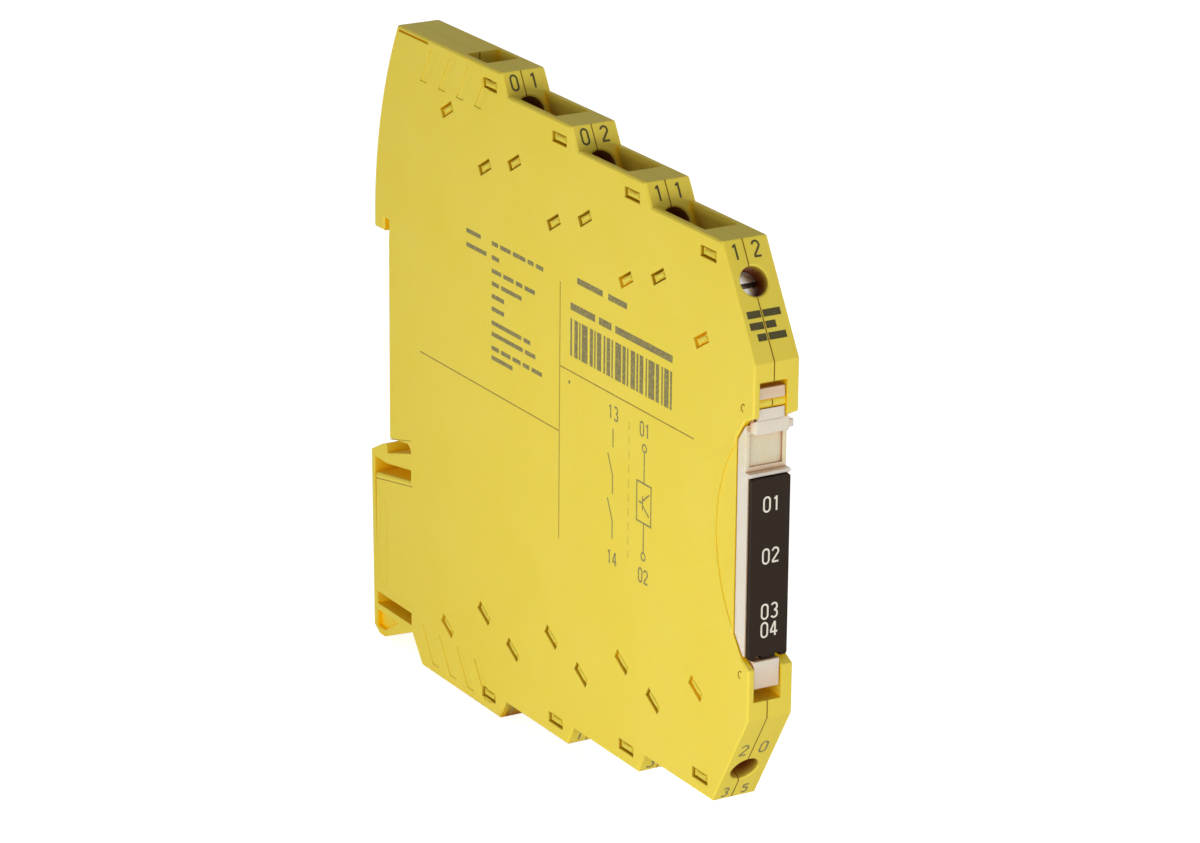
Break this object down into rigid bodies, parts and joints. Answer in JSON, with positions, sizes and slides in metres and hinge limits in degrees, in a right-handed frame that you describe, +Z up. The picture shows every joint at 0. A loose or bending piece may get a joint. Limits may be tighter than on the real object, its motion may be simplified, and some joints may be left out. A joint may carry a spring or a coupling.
{
  "type": "safety relay",
  "caption": "Slim rail-mounted safety relay: stepped two-shell housing, rising-clamp screw terminals, hinged front cover with label plate, and spring foot latch.",
  "frame": {"origin": "middle of the flat face that seats on the rail, on the rail's centre line", "axes": "+X across the width, -Y towards the operator's side with the cover, +Y towards the rail, +Z up with the hook above and the foot latch below"},
  "size_m": [0.0068, 0.1025, 0.093],
  "materials": {
    "housing": "satin",
    "cover": "satin",
    "plate": "matte",
    "board": "satin",
    "relay_case": "gloss",
    "lamp": "gloss",
    "screw": "satin",
    "clamp": "satin",
    "contact": "satin"
  },
  "bodies": {
    "housing": {"left_shell": "housing", "right_shell": "housing", "circuit_board": "board", "relay_1": "relay_case", "relay_2": "relay_case", "leds": "lamp", "bar_top_1": "contact", "bar_top_2": "contact", "bar_top_3": "contact", "bar_top_4": "contact", "bar_bottom_1": "contact", "bar_bottom_2": "contact", "bar_bottom_3": "contact", "bar_bottom_4": "contact"},
    "screw_top_1": {"screw_top_1": "screw"},
    "clamp_top_1": {"clamp_top_1": "clamp"},
    "screw_top_2": {"screw_top_2": "screw"},
    "clamp_top_2": {"clamp_top_2": "clamp"},
    "screw_top_3": {"screw_top_3": "screw"},
    "clamp_top_3": {"clamp_top_3": "clamp"},
    "screw_top_4": {"screw_top_4": "screw"},
    "clamp_top_4": {"clamp_top_4": "clamp"},
    "screw_bottom_1": {"screw_bottom_1": "screw"},
    "clamp_bottom_1": {"clamp_bottom_1": "clamp"},
    "screw_bottom_2": {"screw_bottom_2": "screw"},
    "clamp_bottom_2": {"clamp_bottom_2": "clamp"},
    "screw_bottom_3": {"screw_bottom_3": "screw"},
    "clamp_bottom_3": {"clamp_bottom_3": "clamp"},
    "screw_bottom_4": {"screw_bottom_4": "screw"},
    "clamp_bottom_4": {"clamp_bottom_4": "clamp"},
    "front_cover": {"front_cover": "cover", "label_plate": "plate"},
    "foot_latch": {"foot_latch": "housing"}
  },
  "joints": [
    {"name": "screw_top_1_turn", "type": "hinge", "parent": "housing", "child": "screw_top_1", "pos_m": [-0.0002, -0.03509, 0.04171], "axis": [0, 0.8625, -0.506], "range_deg": [0, 1656.4]},
    {"name": "clamp_top_1_rise", "type": "slide", "parent": "housing", "child": "clamp_top_1", "axis": [0, -0.8625, 0.506], "range_m": [0, 0.0023]},
    {"name": "screw_top_2_turn", "type": "hinge", "parent": "housing", "child": "screw_top_2", "pos_m": [-0.0002, -0.05381, 0.03885], "axis": [0, 0.8625, -0.506], "range_deg": [0, 1656.4]},
    {"name": "clamp_top_2_rise", "type": "slide", "parent": "housing", "child": "clamp_top_2", "axis": [0, -0.8625, 0.506], "range_m": [0, 0.0023]},
    {"name": "screw_top_3_turn", "type": "hinge", "parent": "housing", "child": "screw_top_3", "pos_m": [-0.0002, -0.07253, 0.03598], "axis": [0, 0.8625, -0.506], "range_deg": [0, 1656.4]},
    {"name": "clamp_top_3_rise", "type": "slide", "parent": "housing", "child": "clamp_top_3", "axis": [0, -0.8625, 0.506], "range_m": [0, 0.0023]},
    {"name": "screw_top_4_turn", "type": "hinge", "parent": "housing", "child": "screw_top_4", "pos_m": [-0.0002, -0.09125, 0.03311], "axis": [0, 0.8625, -0.506], "range_deg": [0, 1656.4]},
    {"name": "clamp_top_4_rise", "type": "slide", "parent": "housing", "child": "clamp_top_4", "axis": [0, -0.8625, 0.506], "range_m": [0, 0.0023]},
    {"name": "screw_bottom_1_turn", "type": "hinge", "parent": "housing", "child": "screw_bottom_1", "pos_m": [-0.0002, -0.03509, -0.04171], "axis": [0, 0.8625, 0.506], "range_deg": [0, 1656.4]},
    {"name": "clamp_bottom_1_rise", "type": "slide", "parent": "housing", "child": "clamp_bottom_1", "axis": [0, -0.8625, -0.506], "range_m": [0, 0.0023]},
    {"name": "screw_bottom_2_turn", "type": "hinge", "parent": "housing", "child": "screw_bottom_2", "pos_m": [-0.0002, -0.05381, -0.03885], "axis": [0, 0.8625, 0.506], "range_deg": [0, 1656.4]},
    {"name": "clamp_bottom_2_rise", "type": "slide", "parent": "housing", "child": "clamp_bottom_2", "axis": [0, -0.8625, -0.506], "range_m": [0, 0.0023]},
    {"name": "screw_bottom_3_turn", "type": "hinge", "parent": "housing", "child": "screw_bottom_3", "pos_m": [-0.0002, -0.07253, -0.03598], "axis": [0, 0.8625, 0.506], "range_deg": [0, 1656.4]},
    {"name": "clamp_bottom_3_rise", "type": "slide", "parent": "housing", "child": "clamp_bottom_3", "axis": [0, -0.8625, -0.506], "range_m": [0, 0.0023]},
    {"name": "screw_bottom_4_turn", "type": "hinge", "parent": "housing", "child": "screw_bottom_4", "pos_m": [-0.0002, -0.09125, -0.03311], "axis": [0, 0.8625, 0.506], "range_deg": [0, 1656.4]},
    {"name": "clamp_bottom_4_rise", "type": "slide", "parent": "housing", "child": "clamp_bottom_4", "axis": [0, -0.8625, -0.506], "range_m": [0, 0.0023]},
    {"name": "cover_hinge", "type": "hinge", "parent": "housing", "child": "front_cover", "pos_m": [0, -0.0956, 0.01855], "axis": [-1, 0, 0], "range_deg": [0, 95]},
    {"name": "latch_draw", "type": "slide", "parent": "housing", "child": "foot_latch", "axis": [0, 0, -1], "range_m": [0, 0.0015], "stiffness_N_per_m": 300}
  ],
  "couplings": [
    {"joint": "screw_top_1_turn", "follows": "clamp_top_1_rise", "rad_per_m": 12566},
    {"joint": "screw_top_2_turn", "follows": "clamp_top_2_rise", "rad_per_m": 12566},
    {"joint": "screw_top_3_turn", "follows": "clamp_top_3_rise", "rad_per_m": 12566},
    {"joint": "screw_top_4_turn", "follows": "clamp_top_4_rise", "rad_per_m": 12566},
    {"joint": "screw_bottom_1_turn", "follows": "clamp_bottom_1_rise", "rad_per_m": 12566},
    {"joint": "screw_bottom_2_turn", "follows": "clamp_bottom_2_rise", "rad_per_m": 12566},
    {"joint": "screw_bottom_3_turn", "follows": "clamp_bottom_3_rise", "rad_per_m": 12566},
    {"joint": "screw_bottom_4_turn", "follows": "clamp_bottom_4_rise", "rad_per_m": 12566}
  ]
}
